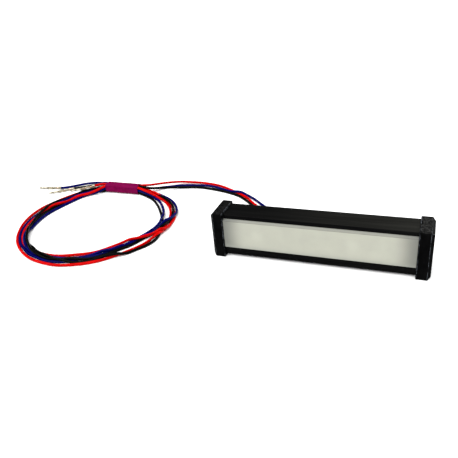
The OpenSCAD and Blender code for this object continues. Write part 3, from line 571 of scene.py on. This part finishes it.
def insulation(name, dark, bright):
    look = Look(name, Specular_IOR_Level=0.03)
    cloud = look.noise(210, 3)
    fine = look.noise(3800, 3)
    look.colour(look.mix(look.spread(cloud, 0.3, 0.7), dark, bright))
    look.rough(look.spread(fine, 0.3, 0.7, 0.26, 0.38))
    look.bump(look.noise(1400, 2), 0.000003)
    return look.material


def tape():
    """Creased plastic tape, with a painted highlight along its rims."""
    look = Look("band_magenta", Specular_IOR_Level=0.02)
    crease = look.noise(300, 3, (0.5, 1, 1))
    fine = look.noise(2600, 3)
    edge = look.attribute("edge")
    base = look.mix(look.spread(crease, 0.3, 0.7), (0.108, 0.0002, 0.031), (0.145, 0.0004, 0.042))
    # The rims are painted lighter: a painted highlight.
    look.colour(look.mix(look.math("MULTIPLY", edge, 0.5), base, (0.3, 0.02, 0.12)))
    look.rough(look.spread(fine, 0.3, 0.7, 0.34, 0.46))
    look.bump(look.math("ADD", crease, look.math("MULTIPLY", fine, 0.15)), 0.00004)
    return look.material


def metal(name, low, high, rough, scale, tarnish=None):
    look = Look(name, Metallic=1.0)
    cloud = look.noise(scale, 4)
    fine = look.noise(scale * 9, 3)
    base = look.mix(look.spread(cloud, 0.3, 0.7), low, high)
    if tarnish:
        base = look.mix(look.spread(look.noise(scale * 0.6, 5), 0.52, 0.72, 0, 0.7), base, tarnish)
    look.colour(base)
    look.rough(look.spread(fine, 0.25, 0.75, rough, rough + 0.16))
    look.bump(fine, 0.000008)
    return look.material


def plastic(name, low, high, rough, scale, grain=0.00001, **constants):
    look = Look(name, **constants)
    cloud = look.noise(scale, 4)
    fine = look.noise(scale * 12, 3)
    look.colour(look.mix(look.spread(cloud, 0.3, 0.7), low, high))
    look.rough(look.spread(fine, 0.25, 0.75, rough, rough + 0.12))
    look.bump(fine, grain)
    return look.material


LOOKS = {
    "anodised_black": anodised(),
    "moulded_black": moulded(),
    "frosted_lens": frosted(),
    "insulation_red": insulation("insulation_red", (0.36, 0.0003, 0.0002), (0.48, 0.0008, 0.0006)),
    "insulation_blue": insulation("insulation_blue", (0.0002, 0.0004, 0.05), (0.0004, 0.001, 0.08)),
    "insulation_black": insulation("insulation_black", (0.0003, 0.0003, 0.0003), (0.001, 0.001, 0.001)),
    "band_magenta": tape(),
    "contact_plate": metal(
        "contact_plate", (0.13, 0.11, 0.065), (0.5, 0.46, 0.35), 0.3, 420, (0.05, 0.042, 0.025)
    ),
    "copper": metal("copper", (0.62, 0.3, 0.16), (0.85, 0.52, 0.34), 0.25, 900),
    "screw_steel": metal("screw_steel", (0.4, 0.4, 0.41), (0.66, 0.66, 0.66), 0.26, 600),
    "tinned_lead": metal("tinned_lead", (0.6, 0.6, 0.6), (0.8, 0.8, 0.8), 0.24, 1500),
    "solder": metal("solder", (0.5, 0.51, 0.53), (0.78, 0.79, 0.8), 0.2, 1300),
    "gasket_rubber": plastic("gasket_rubber", (0.006,) * 3, (0.016,) * 3, 0.62, 500, 0.00002),
    "grommet_rubber": plastic("grommet_rubber", (0.004,) * 3, (0.014,) * 3, 0.5, 420, 0.00002),
    "board_white": plastic("board_white", (0.72, 0.73, 0.7), (0.82, 0.82, 0.79), 0.3, 260),
    "tape_grey": plastic("tape_grey", (0.42, 0.44, 0.47), (0.55, 0.57, 0.6), 0.6, 500, 0.00002),
    "led_body": plastic("led_body", (0.8, 0.79, 0.74), (0.88, 0.87, 0.83), 0.35, 1200),
    "phosphor": plastic("phosphor", (0.86, 0.68, 0.12), (0.93, 0.8, 0.24), 0.2, 1500, Coat_Weight=0.5),
    "clear_silicone": plastic(
        "clear_silicone", (0.62, 0.7, 0.8), (0.74, 0.82, 0.9), 0.12, 1500, Coat_Weight=0.6
    ),
    "chip_black": plastic("chip_black", (0.008,) * 3, (0.02,) * 3, 0.5, 1400),
    "floor": plastic("floor", (0.9,) * 3, (0.92,) * 3, 0.85, 3, Specular_IOR_Level=0.1),
}

# ---------- Building pieces ----------

BEVEL_ANGLE = 25
MERGE_WITHIN = 0.000002
FLAT_WITHIN = 0.8


def finished_piece(piece, look, nodes=()):
    """Gives a new piece its material and its body, and hides the CAD nodes that it stands for."""
    if not piece.data.materials:
        piece.data.materials.append(LOOKS[look])
    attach(piece, "root")
    if nodes:
        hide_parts(*nodes)
    return piece


def baked(piece):
    """The piece's mesh with its modifiers applied."""
    depsgraph = bpy.context.evaluated_depsgraph_get()
    mesh = bpy.data.meshes.new_from_object(piece.evaluated_get(depsgraph))
    piece.modifiers.clear()
    piece.data = mesh
    return mesh


def mark_edges(mesh, index):
    """An attribute that rises to 1 along the middle of the bevels, whose faces carry the index."""
    on_flat = np.zeros(len(mesh.vertices), bool)
    for face in mesh.polygons:
        if face.material_index != index:
            on_flat[list(face.vertices)] = True
    values = np.zeros(len(mesh.loops), np.float32)
    for face in mesh.polygons:
        if face.material_index == index:
            for corner in face.loop_indices:
                values[corner] = 0.25 if on_flat[mesh.loops[corner].vertex_index] else 1
            face.material_index = 0
    attribute = mesh.attributes.new("edge", "FLOAT", "CORNER")
    attribute.data.foreach_set("value", values)


def softened(node, name, look, width):
    """A copy of a CAD node with fine rounded edges, which stands for it."""
    mesh = frame["nodes"][node].data.copy()
    mesh.name = name
    mesh.materials.clear()
    mesh.materials.append(LOOKS[look])
    mesh.materials.append(LOOKS[look])
    bm = bmesh.new()
    bm.from_mesh(mesh)
    bmesh.ops.remove_doubles(bm, verts=bm.verts, dist=MERGE_WITHIN)
    flat = math.radians(FLAT_WITHIN)
    bmesh.ops.dissolve_limit(bm, angle_limit=flat, verts=bm.verts, edges=bm.edges)
    bm.to_mesh(mesh)
    bm.free()
    for face in mesh.polygons:
        face.material_index = 0
    piece = bpy.data.objects.new(name, mesh)
    scene.collection.objects.link(piece)
    bevel = piece.modifiers.new("bevel", "BEVEL")
    bevel.width = width
    bevel.segments = 3
    bevel.limit_method = "ANGLE"
    bevel.angle_limit = math.radians(BEVEL_ANGLE)
    bevel.material = 1
    bevel.use_clamp_overlap = True
    normals = piece.modifiers.new("normals", "WEIGHTED_NORMAL")
    normals.keep_sharp = True
    mesh.shade_smooth()
    mark_edges(baked(piece), 1)
    return finished_piece(piece, look, [node])


def mesh_object(name, points, faces, look):
    mesh = bpy.data.meshes.new(name)
    mesh.from_pydata([tuple(p) for p in points], [], faces)
    mesh.validate()
    mesh.update()
    mesh.materials.append(LOOKS[look])
    piece = bpy.data.objects.new(name, mesh)
    scene.collection.objects.link(piece)
    return piece


def strip_faces(rows, columns, closed=False):
    """Faces between successive rows of points."""
    wide = columns if closed else columns - 1
    return [
        (r * columns + c, r * columns + (c + 1) % columns,
         (r + 1) * columns + (c + 1) % columns, (r + 1) * columns + c)
        for r in range(rows - 1)
        for c in range(wide)
    ]


def thickened(piece, thickness, bevel):
    """Gives an open sheet its thickness, with rounded rims marked as edges."""
    solid = piece.modifiers.new("solid", "SOLIDIFY")
    solid.thickness = thickness
    solid.offset = 0
    solid.material_offset_rim = 1
    rounder = piece.modifiers.new("bevel", "BEVEL")
    rounder.width = bevel
    rounder.segments = 2
    rounder.limit_method = "ANGLE"
    rounder.angle_limit = math.radians(50)
    piece.data.materials.append(piece.data.materials[0])
    piece.data.shade_smooth()
    mark_edges(baked(piece), 1)


# ---------- Crimp contacts ----------

# Sections and stations are in millimetres, in the contact's own frame: x along the pin, z up
MM = 0.001
SHEET = 0.24
SHEET_BEVEL = 0.04
AROUND = 33


def ring_section(radius, opening, squash=1.0):
    """A sheet rolled round the axis, open at the top by that many degrees."""
    turn = np.radians(np.linspace(-180 + opening / 2, 180 - opening / 2, AROUND))
    return np.stack([radius * np.sin(turn), -radius * squash * np.cos(turn)], axis=1)


def folded_section(half):
    """A sheet folded along the given half outline, which runs from the bottom middle to the tip."""
    half = np.array(half, float)
    outline = np.vstack([half[::-1] * (-1, 1), half[1:]])
    along = np.concatenate([[0], np.cumsum(np.linalg.norm(np.diff(outline, axis=0), axis=1))])
    at = np.linspace(0, along[-1], AROUND)
    return np.stack([np.interp(at, along, outline[:, k]) for k in (0, 1)], axis=1)


NECK = folded_section([(0, -1.3), (0.6, -1.3), (0.85, -1.2), (0.95, -0.75), (0.97, -0.4)])
RISE = folded_section([(0, -1.0), (0.5, -0.98), (0.78, -0.85), (0.9, -0.5), (0.92, -0.15)])
CRIMP = folded_section([
    (0, -0.82), (0.45, -0.8), (0.78, -0.6), (0.92, -0.2), (0.93, 0.25), (0.82, 0.6),
    (0.58, 0.78), (0.3, 0.72), (0.13, 0.5), (0.12, 0.15)
])
BELL = CRIMP * 1.1
LOCK = folded_section([
    (0, -1.3), (0.8, -1.3), (0.96, -1.22), (1.02, -1.05), (1.02, 0.6), (0.96, 0.76),
    (0.8, 0.82), (0.12, 0.82)
])
TAIL = folded_section([
    (0, -1.1), (0.6, -1.05), (0.85, -0.8), (0.9, 0), (0.85, 0.5), (0.6, 0.62), (0.15, 0.62)
])
SERRATED = CRIMP * 0.95

# Where each section stands: insulation grip, neck, wire crimp, locking box and pin
STATIONS = [
    (0, ring_section(1.34, 46)), (0.25, ring_section(1.3, 34)), (0.8, ring_section(1.28, 26)),
    (1.6, ring_section(1.26, 24)), (1.75, ring_section(1.29, 24)), (2.6, ring_section(1.28, 26)),
    (3.1, ring_section(1.3, 34)), (3.35, ring_section(1.32, 70)), (3.5, NECK), (4.3, NECK),
    (4.9, RISE), (5.3, RISE), (5.42, BELL), (5.7, CRIMP), (6.4, CRIMP), (6.5, SERRATED),
    (6.7, SERRATED), (6.8, CRIMP), (7.3, CRIMP), (7.4, SERRATED), (7.6, SERRATED),
    (7.7, CRIMP), (8.2, CRIMP), (8.3, SERRATED), (8.5, SERRATED), (8.6, CRIMP),
    (9.1, CRIMP), (9.38, BELL), (9.5, RISE), (9.9, NECK), (10.1, LOCK), (11.2, LOCK),
    (12.8, LOCK), (14.6, LOCK), (15.1, TAIL), (15.9, ring_section(0.82, 20)),
    (16.5, ring_section(0.72, 10)), (16.9, ring_section(0.7, 8)), (19, ring_section(0.7, 8)),
    (22, ring_section(0.7, 8)), (24.1, ring_section(0.68, 8)), (24.7, ring_section(0.52, 8)),
    (25.1, ring_section(0.34, 8)), (25.3, ring_section(0.16, 8))
]
# The locking tongue: its root, its tip and, between them, where it bends
LANCE = [
    (10.6, -0.34, 0.84), (10.6, 0.34, 0.84), (13.2, 0.34, 1.18), (13.2, -0.34, 1.18),
    (11.9, -0.34, 1.02), (11.9, 0.34, 1.02)
]


def make_contact(name):
    points = [Vector((x, y, z)) * MM for x, section in STATIONS for y, z in section]
    faces = strip_faces(len(STATIONS), AROUND)
    first = len(points)
    points += [Vector(p) * MM for p in LANCE]
    faces += [(first, first + 1, first + 5, first + 4), (first + 4, first + 5, first + 2, first + 3)]
    piece = mesh_object("crimp_" + name, points, faces, "contact_plate")
    thickened(piece, SHEET * MM, SHEET_BEVEL * MM)
    piece.data.transform(contact_matrix(name))
    return finished_piece(piece, "contact_plate", ["contact_" + name])


def tube(line, radius, sides):
    """Points and faces of a closed tube along a line."""
    line = [Vector(p) for p in line]
    points, faces = [], []
    for i, place in enumerate(line):
        ahead = (line[min(i + 1, len(line) - 1)] - line[max(i - 1, 0)]).normalized()
        across = ahead.cross(Vector((0, 0, 1))).normalized()
        above = across.cross(ahead)
        for k in range(sides):
            a = 2 * math.pi * k / sides
            points.append(place + radius * (math.cos(a) * across + math.sin(a) * above))
    faces += strip_faces(len(line), sides, closed=True)
    faces.append(tuple(reversed(range(sides))))
    faces.append(tuple(range((len(line) - 1) * sides, len(line) * sides)))
    return points, faces


STRANDS = 7
STRAND_R = 0.19
STRAND_RING = 0.38
STRAND_TWIST = 24
STRAND_SPAN = (2, 10.15)
STRAND_SIDES = 8
STRAND_RINGS = 26
CRIMPED_SPAN = (5.2, 9.6)
CRIMPED = 0.86
SPLAYED_FROM = 9.5
SPLAY = 0.12


def make_strands(name, nodes):
    """Stripped copper strands round a middle one, lightly twisted, a little splayed past the crimp."""
    points, faces = [], []
    for k in range(STRANDS):
        radius = 0 if k == 0 else STRAND_RING
        line = []
        for x in np.linspace(*STRAND_SPAN, STRAND_RINGS):
            a = math.radians(360 / (STRANDS - 1) * k + STRAND_TWIST * x)
            squeeze = CRIMPED if CRIMPED_SPAN[0] < x < CRIMPED_SPAN[1] else 1
            out = radius * (1 + SPLAY * max(0, x - SPLAYED_FROM)) * squeeze
            line.append((x * MM, out * math.cos(a) * MM, out * math.sin(a) * MM))
        more, skin = tube(line, STRAND_R * MM, STRAND_SIDES)
        faces += [tuple(i + len(points) for i in f) for f in skin]
        points += more
    piece = mesh_object("strands_" + name, points, faces, "copper")
    piece.data.shade_smooth()
    piece.data.set_sharp_from_angle(angle=math.radians(50))
    piece.data.transform(contact_matrix(name))
    return finished_piece(piece, "copper", nodes)


# ---------- Band ----------

BAND_CORNER = 0.003
TAPE_THICK = 0.00016
TAPE_BEVEL = 0.00004
# How many times the tape goes round, and where its inner end lies, as a share of the way round
TAPE_TURNS = 1.2
TAPE_START = 0.55
TAPE_END_ROOM = 0.0007
TAPE_ROWS = 75
TAPE_COLUMNS = 121


def band_outline(share, inset):
    """A point on the band's rounded outline, a share of the way round, drawn in by inset."""
    half_w = (band_high[1] - band_low[1]) / 2 - inset
    half_h = (band_high[2] - band_low[2]) / 2 - inset
    corner = BAND_CORNER - inset
    flat_w, flat_h = half_w - corner, half_h - corner
    arc = math.pi / 2 * corner
    legs = [2 * flat_w, arc, 2 * flat_h, arc] * 2
    at = (share % 1) * sum(legs)
    leg = 0
    while at > legs[leg]:
        at -= legs[leg]
        leg += 1
    turn = math.pi / 2 * (leg // 2)
    if leg % 2 == 0:
        wide = flat_w if leg in (0, 4) else flat_h
        tall = half_h if leg in (0, 4) else half_w
        y, z = at - wide, -tall
    else:
        wide, tall = (flat_w, flat_h) if leg in (1, 5) else (flat_h, flat_w)
        a = at / corner
        y, z = wide + corner * math.sin(a), -tall - corner * math.cos(a)
    return (
        (band_low[1] + band_high[1]) / 2 + y * math.cos(turn) - z * math.sin(turn),
        (band_low[2] + band_high[2]) / 2 + y * math.sin(turn) + z * math.cos(turn),
    )


def make_band():
    """A strip of tape wound a little more than once round the bundle, each turn outside the last."""
    length = BAND_X[1] - BAND_X[0] - 2 * TAPE_END_ROOM
    points = []
    for r in range(TAPE_ROWS):
        along = r / (TAPE_ROWS - 1)
        for c in range(TAPE_COLUMNS):
            share = c / (TAPE_COLUMNS - 1) * TAPE_TURNS
            waves = math.sin(31 * share + 5 * along) + math.sin(17 * share - 9 * along + 2)
            pull = 0.00007 * (2 + waves) + 0.00005 * math.sin(23 * along + 11 * share) ** 2
            inset = 0.00034 - 0.00022 * share / TAPE_TURNS + pull
            y, z = band_outline(TAPE_START + share, inset)
            ragged = 0.00018 * math.sin(9 * share + 1) + 0.00009 * math.sin(29 * share)
            skew = 0.0005 * (share - TAPE_TURNS / 2)
            x = BAND_X[0] + TAPE_END_ROOM + along * length + ragged + skew
            points.append((x, y, z))
    faces = strip_faces(TAPE_ROWS, TAPE_COLUMNS)
    piece = mesh_object("band_wrap", points, faces, "band_magenta")
    thickened(piece, TAPE_THICK, TAPE_BEVEL)
    return finished_piece(piece, "band_magenta", ["bundle_sleeve"])


# ---------- The model ----------

# Each CAD node that gets rounded edges: the piece's name, its material and the width of the rounding
ROUNDED = {
    "housing": ("extrusion", "anodised_black", 0.00018),
    "lens": ("diffuser", "frosted_lens", 0.00018),
    "left_end_cap": ("cap_left", "moulded_black", 0.00028),
    "right_end_cap": ("cap_right", "moulded_black", 0.00028),
    "cable_grommet": ("grommet", "grommet_rubber", 0.0002),
    "left_cap_screws": ("screws_left", "screw_steel", 0.00008),
    "right_cap_screws": ("screws_right", "screw_steel", 0.00008),
}
for cad_node, (piece_name, surface, width) in ROUNDED.items():
    softened(cad_node, piece_name, surface, width)
make_band()

for colour in ("red", "blue", "black"):
    contact = make_contact(colour)
    strands = make_strands(colour, ["bare_conductors"])
    lead = finished_piece(leads[colour], "insulation_" + colour, ["wire_" + colour])

# Every CAD node takes the material of its slot
for part in frame["record"]["subparts"]:
    node = frame["nodes"][part["node"]]
    for slot in node.material_slots:
        slot.material = LOOKS[part["material_slot"]]

# ---------- Floor, light and background ----------


FLOOR_HALF = 30
WORLD_LIGHT = 0.19


def make_floor():
    corners = [(x * FLOOR_HALF, y * FLOOR_HALF, 0) for x, y in ((-1, -1), (1, -1), (1, 1), (-1, 1))]
    mesh_object("floor", corners, [(0, 1, 2, 3)], "floor")


def area_light(name, place, target, size, power):
    data = bpy.data.lights.new(name, "AREA")
    data.shape = "RECTANGLE"
    data.size, data.size_y = size
    data.energy = power
    light = bpy.data.objects.new(name, data)
    scene.collection.objects.link(light)
    light.location = place
    light.rotation_euler = (Vector(target) - Vector(place)).to_track_quat("-Z", "Y").to_euler()


def sun_light(name, direction, angle, strength):
    data = bpy.data.lights.new(name, "SUN")
    data.angle = math.radians(angle)
    data.energy = strength
    light = bpy.data.objects.new(name, data)
    scene.collection.objects.link(light)
    light.rotation_euler = Vector(direction).to_track_quat("-Z", "Y").to_euler()


def make_world():
    world = bpy.data.worlds.new("world")
    world.use_nodes = True
    background = world.node_tree.nodes["Background"]
    background.inputs["Color"].default_value = (1, 1, 1, 1)
    background.inputs["Strength"].default_value = WORLD_LIGHT
    scene.world = world


make_floor()
sun_light("key", (0.18, 0.45, -1), 90, 5.6)
area_light("back_right", (1.0, 1.5, 0.9), (0, 0, 0), (1.3, 0.9), 22)
make_world()
